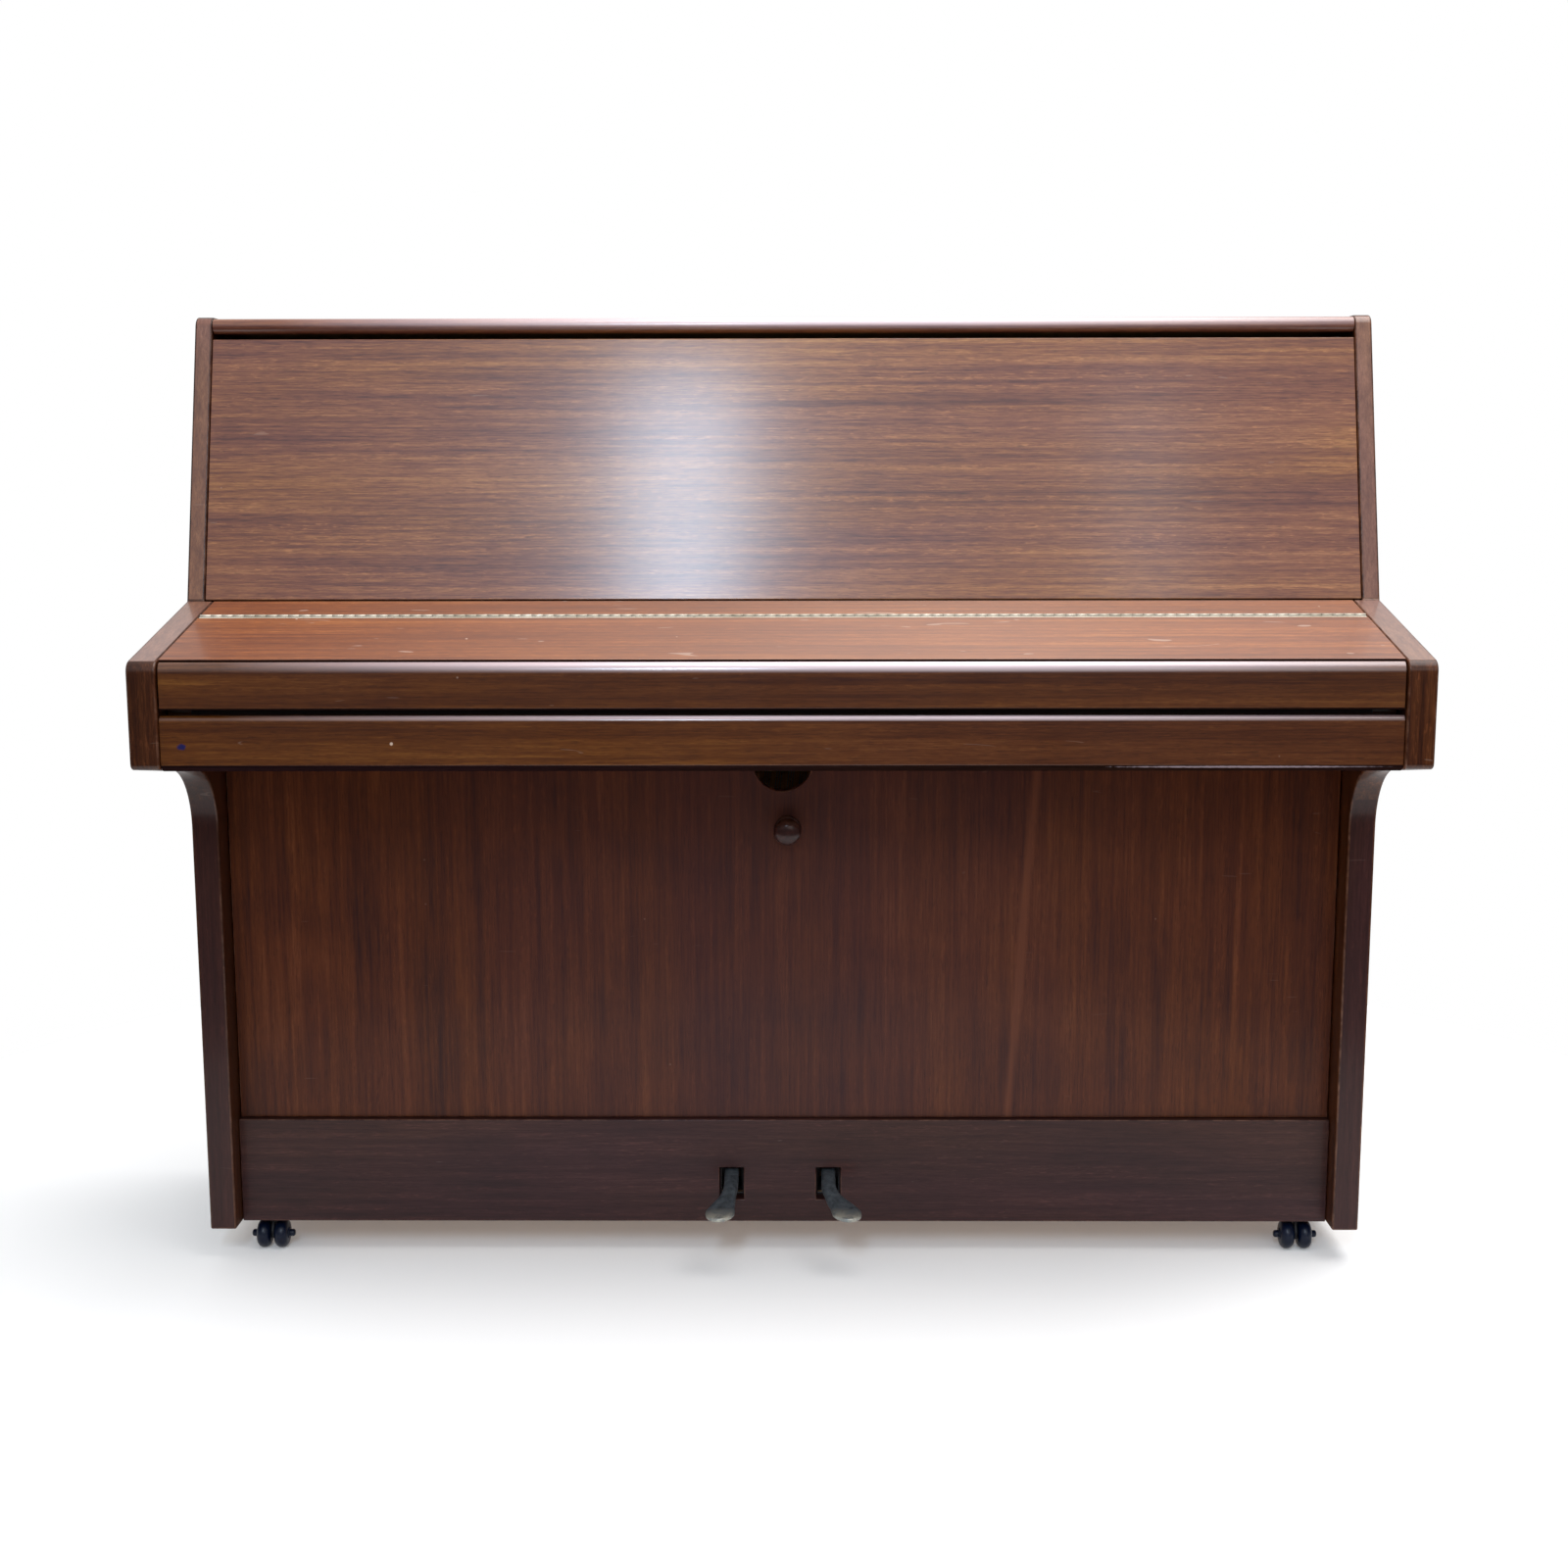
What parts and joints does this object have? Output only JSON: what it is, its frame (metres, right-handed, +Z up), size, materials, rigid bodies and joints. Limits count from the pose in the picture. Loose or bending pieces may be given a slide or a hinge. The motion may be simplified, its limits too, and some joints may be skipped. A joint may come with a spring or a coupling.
{
  "type": "upright piano",
  "caption": "Upright piano in mahogany with a folding fallboard on a long brass hinge, lifting lid, sprung keys and pedals, and twin-wheel casters.",
  "frame": {"origin": "on the floor, under the middle of the case", "axes": "+Z up, +X along the keyboard to the player's right, -Y towards the player"},
  "size_m": [1.4, 0.54, 1.14],
  "materials": {
    "case_wood": "satin lacquered mahogany, worn at the edges",
    "knob_wood": "dark turned wood, gloss lacquer",
    "inner_wood": "plain beech, unfinished",
    "spruce": "spruce, thin varnish",
    "brass": "dull aged brass",
    "pedal_metal": "tarnished, polished at the toes",
    "spring_steel": "bright drawn steel",
    "plate_iron": "bronze paint on cast iron",
    "dark_iron": "black japanned iron",
    "caster_plastic": "black moulded",
    "hammer_felt": "pressed wool felt",
    "key_white": "ivory-coloured key cover",
    "key_black": "ebony-black"
  },
  "bodies": {
    "case": {"side_panel_left": "case_wood", "side_panel_right": "case_wood", "bottom_board": "inner_wood", "toe_rail": "case_wood", "key_bed": "inner_wood", "key_slip": "case_wood", "key_block_left": "case_wood", "key_block_right": "case_wood", "upper_panel": "case_wood", "fall_hinge_rear_leaf": "brass", "fall_rear_strip": "case_wood", "lid_hinge_rear_leaf": "brass", "lid_rear_rail": "case_wood", "back_frame": "spruce", "soundboard": "spruce", "treble_bridge": "inner_wood", "bass_bridge": "inner_wood", "iron_frame": "plate_iron", "strings": "spring_steel", "key_frame": "inner_wood", "white_keys": "key_white", "black_keys": "key_black", "action_frame": "dark_iron", "pedal_bracket": "dark_iron"},
    "lower_panel": {"lower_panel": "case_wood", "lower_panel_knob": "knob_wood"},
    "fallboard": {"fallboard": "case_wood", "fall_hinge_front_leaf": "brass"},
    "fall_lip": {"fall_lip": "case_wood"},
    "lid": {"lid": "case_wood", "lid_hinge_front_leaf": "brass"},
    "panel_catch": {"panel_catch": "spring_steel"},
    "hammers": {"hammers": "hammer_felt"},
    "dampers": {"dampers": "hammer_felt"},
    "pedal_left": {"pedal_left": "pedal_metal"},
    "trap_lever_left": {"trap_lever_left": "inner_wood"},
    "pedal_rod_left": {"pedal_rod_left": "inner_wood"},
    "pedal_right": {"pedal_right": "pedal_metal"},
    "trap_lever_right": {"trap_lever_right": "inner_wood"},
    "pedal_rod_right": {"pedal_rod_right": "inner_wood"},
    "key_c4": {"key_c4": "key_white"},
    "key_cs4": {"key_cs4": "key_black"},
    "key_d4": {"key_d4": "key_white"},
    "key_ds4": {"key_ds4": "key_black"},
    "key_e4": {"key_e4": "key_white"},
    "key_f4": {"key_f4": "key_white"},
    "key_fs4": {"key_fs4": "key_black"},
    "key_g4": {"key_g4": "key_white"},
    "key_gs4": {"key_gs4": "key_black"},
    "key_a4": {"key_a4": "key_white"},
    "key_as4": {"key_as4": "key_black"},
    "key_b4": {"key_b4": "key_white"},
    "caster_fork_front_left": {"caster_fork_front_left": "dark_iron"},
    "caster_wheels_front_left": {"caster_wheels_front_left": "caster_plastic"},
    "caster_fork_front_right": {"caster_fork_front_right": "dark_iron"},
    "caster_wheels_front_right": {"caster_wheels_front_right": "caster_plastic"},
    "caster_fork_rear_left": {"caster_fork_rear_left": "dark_iron"},
    "caster_wheels_rear_left": {"caster_wheels_rear_left": "caster_plastic"},
    "caster_fork_rear_right": {"caster_fork_rear_right": "dark_iron"},
    "caster_wheels_rear_right": {"caster_wheels_rear_right": "caster_plastic"}
  },
  "joints": [
    {"name": "fallboard_hinge", "type": "hinge", "parent": "case", "child": "fallboard", "pos_m": [0, -0.103, 0.79308], "axis": [-1, 0, 0], "range_deg": [0, 128]},
    {"name": "fall_lip_fold", "type": "hinge", "parent": "fallboard", "child": "fall_lip", "pos_m": [0, -0.258, 0.7414], "axis": [1, 0, 0], "range_deg": [0, 100]},
    {"name": "lid_hinge", "type": "hinge", "parent": "case", "child": "lid", "pos_m": [0, 0.224, 1.1378], "axis": [-1, 0, 0], "range_deg": [0, 105]},
    {"name": "lower_panel_tilt", "type": "hinge", "parent": "case", "child": "lower_panel", "pos_m": [0, -0.028, 0.1724], "axis": [1, 0, 0], "range_deg": [0, 20]},
    {"name": "panel_catch_flex", "type": "hinge", "parent": "case", "child": "panel_catch", "pos_m": [0, 0.044, 0.6337], "axis": [-1, 0, 0], "range_deg": [0, 5], "stiffness_Nm_per_rad": 0.4, "springref_deg": -8.59},
    {"name": "pedal_left_press", "type": "hinge", "parent": "case", "child": "pedal_left", "pos_m": [-0.0633, 0.03, 0.101], "axis": [1, 0, 0], "range_deg": [0, 8], "stiffness_Nm_per_rad": 25, "springref_deg": -31.51},
    {"name": "trap_lever_left_lift", "type": "hinge", "parent": "case", "child": "trap_lever_left", "pos_m": [0.038, 0.07, 0.1192], "axis": [0, 1, 0], "range_deg": [0, 4.3]},
    {"name": "pedal_rod_left_lift", "type": "slide", "parent": "case", "child": "pedal_rod_left", "axis": [0, 0, 1], "range_m": [0, 0.0149]},
    {"name": "pedal_right_press", "type": "hinge", "parent": "case", "child": "pedal_right", "pos_m": [0.0555, 0.03, 0.101], "axis": [1, 0, 0], "range_deg": [0, 8], "stiffness_Nm_per_rad": 25, "springref_deg": -31.51},
    {"name": "trap_lever_right_lift", "type": "hinge", "parent": "case", "child": "trap_lever_right", "pos_m": [0.33, 0.094, 0.1192], "axis": [0, 1, 0], "range_deg": [0, 2.35]},
    {"name": "pedal_rod_right_lift", "type": "slide", "parent": "case", "child": "pedal_rod_right", "axis": [0, 0, 1], "range_m": [0, 0.0151]},
    {"name": "hammers_half_blow", "type": "hinge", "parent": "case", "child": "hammers", "pos_m": [0, 0.067, 0.8095], "axis": [-1, 0, 0], "range_deg": [0, 6.1]},
    {"name": "dampers_lift", "type": "hinge", "parent": "case", "child": "dampers", "pos_m": [0, 0.107, 0.81], "axis": [1, 0, 0], "range_deg": [0, 3.7]},
    {"name": "key_c4_press", "type": "hinge", "parent": "case", "child": "key_c4", "pos_m": [-0.06365, -0.05, 0.696], "axis": [1, 0, 0], "range_deg": [0, 2.9], "stiffness_Nm_per_rad": 1.2, "springref_deg": -20.05},
    {"name": "key_cs4_press", "type": "hinge", "parent": "case", "child": "key_cs4", "pos_m": [-0.04994, -0.05, 0.696], "axis": [1, 0, 0], "range_deg": [0, 2.9], "stiffness_Nm_per_rad": 1.2, "springref_deg": -20.05},
    {"name": "key_d4_press", "type": "hinge", "parent": "case", "child": "key_d4", "pos_m": [-0.03623, -0.05, 0.696], "axis": [1, 0, 0], "range_deg": [0, 2.9], "stiffness_Nm_per_rad": 1.2, "springref_deg": -20.05},
    {"name": "key_ds4_press", "type": "hinge", "parent": "case", "child": "key_ds4", "pos_m": [-0.02252, -0.05, 0.696], "axis": [1, 0, 0], "range_deg": [0, 2.9], "stiffness_Nm_per_rad": 1.2, "springref_deg": -20.05},
    {"name": "key_e4_press", "type": "hinge", "parent": "case", "child": "key_e4", "pos_m": [-0.00881, -0.05, 0.696], "axis": [1, 0, 0], "range_deg": [0, 2.9], "stiffness_Nm_per_rad": 1.2, "springref_deg": -20.05},
    {"name": "key_f4_press", "type": "hinge", "parent": "case", "child": "key_f4", "pos_m": [0.0049, -0.05, 0.696], "axis": [1, 0, 0], "range_deg": [0, 2.9], "stiffness_Nm_per_rad": 1.2, "springref_deg": -20.05},
    {"name": "key_fs4_press", "type": "hinge", "parent": "case", "child": "key_fs4", "pos_m": [0.0186, -0.05, 0.696], "axis": [1, 0, 0], "range_deg": [0, 2.9], "stiffness_Nm_per_rad": 1.2, "springref_deg": -20.05},
    {"name": "key_g4_press", "type": "hinge", "parent": "case", "child": "key_g4", "pos_m": [0.03231, -0.05, 0.696], "axis": [1, 0, 0], "range_deg": [0, 2.9], "stiffness_Nm_per_rad": 1.2, "springref_deg": -20.05},
    {"name": "key_gs4_press", "type": "hinge", "parent": "case", "child": "key_gs4", "pos_m": [0.04602, -0.05, 0.696], "axis": [1, 0, 0], "range_deg": [0, 2.9], "stiffness_Nm_per_rad": 1.2, "springref_deg": -20.05},
    {"name": "key_a4_press", "type": "hinge", "parent": "case", "child": "key_a4", "pos_m": [0.05973, -0.05, 0.696], "axis": [1, 0, 0], "range_deg": [0, 2.9], "stiffness_Nm_per_rad": 1.2, "springref_deg": -20.05},
    {"name": "key_as4_press", "type": "hinge", "parent": "case", "child": "key_as4", "pos_m": [0.07344, -0.05, 0.696], "axis": [1, 0, 0], "range_deg": [0, 2.9], "stiffness_Nm_per_rad": 1.2, "springref_deg": -20.05},
    {"name": "key_b4_press", "type": "hinge", "parent": "case", "child": "key_b4", "pos_m": [0.08715, -0.05, 0.696], "axis": [1, 0, 0], "range_deg": [0, 2.9], "stiffness_Nm_per_rad": 1.2, "springref_deg": -20.05},
    {"name": "caster_swivel_front_left", "type": "hinge", "parent": "case", "child": "caster_fork_front_left", "pos_m": [-0.6365, 0.004, 0.042], "axis": [0, 0, 1], "continuous": true},
    {"name": "caster_roll_front_left", "type": "hinge", "parent": "caster_fork_front_left", "child": "caster_wheels_front_left", "pos_m": [-0.6365, -0.014, 0.018], "axis": [1, 0, 0], "continuous": true},
    {"name": "caster_swivel_front_right", "type": "hinge", "parent": "case", "child": "caster_fork_front_right", "pos_m": [0.6365, 0.004, 0.042], "axis": [0, 0, 1], "continuous": true},
    {"name": "caster_roll_front_right", "type": "hinge", "parent": "caster_fork_front_right", "child": "caster_wheels_front_right", "pos_m": [0.6365, -0.014, 0.018], "axis": [1, 0, 0], "continuous": true},
    {"name": "caster_swivel_rear_left", "type": "hinge", "parent": "case", "child": "caster_fork_rear_left", "pos_m": [-0.6365, 0.23, 0.042], "axis": [0, 0, 1], "continuous": true},
    {"name": "caster_roll_rear_left", "type": "hinge", "parent": "caster_fork_rear_left", "child": "caster_wheels_rear_left", "pos_m": [-0.6365, 0.212, 0.018], "axis": [1, 0, 0], "continuous": true},
    {"name": "caster_swivel_rear_right", "type": "hinge", "parent": "case", "child": "caster_fork_rear_right", "pos_m": [0.6365, 0.23, 0.042], "axis": [0, 0, 1], "continuous": true},
    {"name": "caster_roll_rear_right", "type": "hinge", "parent": "caster_fork_rear_right", "child": "caster_wheels_rear_right", "pos_m": [0.6365, 0.212, 0.018], "axis": [1, 0, 0], "continuous": true}
  ],
  "couplings": [
    {"joint": "fall_lip_fold", "follows": "fallboard_hinge", "ratio": 0.78},
    {"joint": "trap_lever_left_lift", "follows": "pedal_left_press", "ratio": 0.525},
    {"joint": "pedal_rod_left_lift", "follows": "pedal_left_press", "m_per_rad": 0.10456},
    {"joint": "trap_lever_right_lift", "follows": "pedal_right_press", "ratio": 0.28125},
    {"joint": "pedal_rod_right_lift", "follows": "pedal_right_press", "m_per_rad": 0.106},
    {"joint": "hammers_half_blow", "follows": "pedal_left_press", "ratio": 0.75},
    {"joint": "dampers_lift", "follows": "pedal_right_press", "ratio": 0.45}
  ]
}
